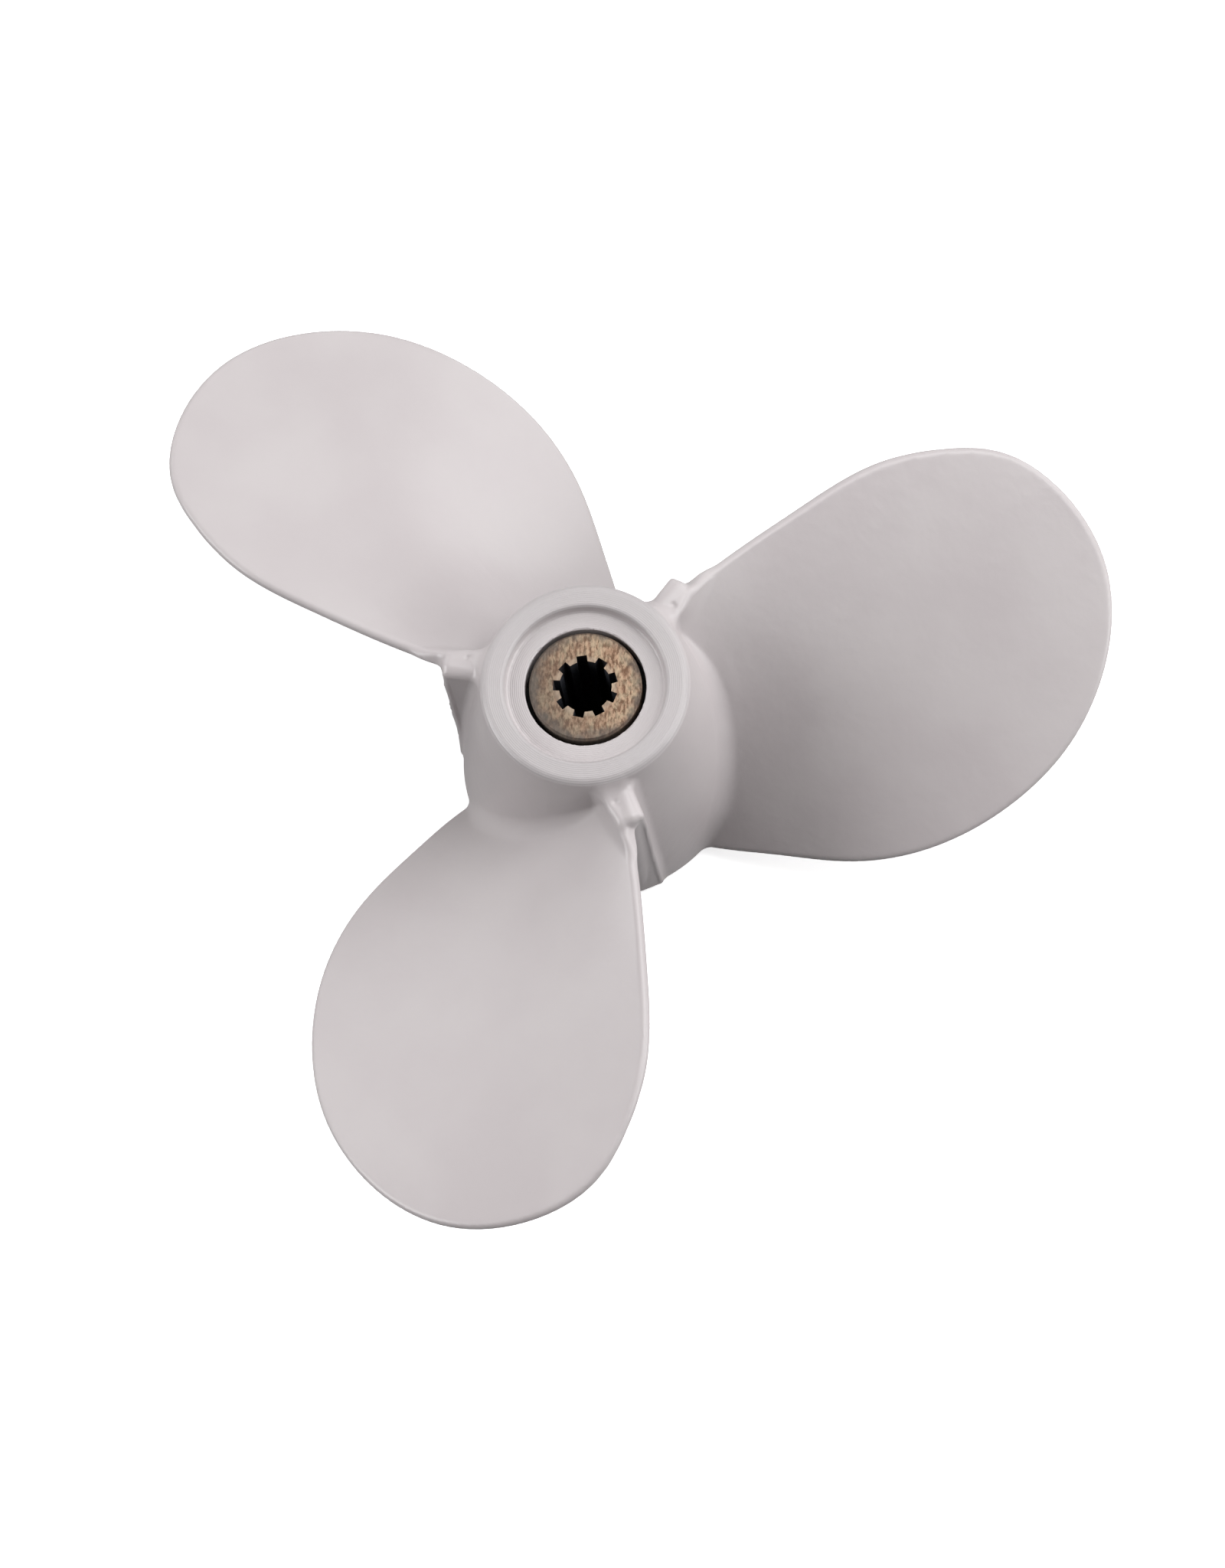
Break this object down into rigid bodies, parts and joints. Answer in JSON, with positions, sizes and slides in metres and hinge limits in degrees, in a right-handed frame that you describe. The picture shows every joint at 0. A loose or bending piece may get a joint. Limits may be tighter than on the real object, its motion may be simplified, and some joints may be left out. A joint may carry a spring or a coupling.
{
  "type": "boat propeller",
  "caption": "Small outboard-motor propeller with broad round blades cast in one with a tapered hub, a rubber torsion damper inside and a splined bronze sleeve for the shaft.",
  "frame": {"origin": "centre of the hub's front face, on the shaft axis", "axes": "+Z along the shaft axis, pointing aft, away from the gearcase; +X along the datum line of one blade; the propeller stands on its hub's front face"},
  "size_m": [0.1634, 0.1722, 0.0505],
  "materials": {
    "painted_casting": "semi-gloss light grey paint over cast aluminium",
    "damper_rubber": "matt black rubber",
    "sleeve_bronze": "brushed bronze with a brown patina"
  },
  "bodies": {
    "drive_sleeve": {"splined_sleeve": "sleeve_bronze"},
    "propeller": {"propeller_casting": "painted_casting", "rubber_damper": "damper_rubber"}
  },
  "joints": [
    {"name": "damper_twist", "type": "hinge", "parent": "drive_sleeve", "child": "propeller", "pos_m": [0, 0, 0.024], "axis": [0, 0, 1], "range_deg": [-10, 10], "stiffness_Nm_per_rad": 120}
  ]
}
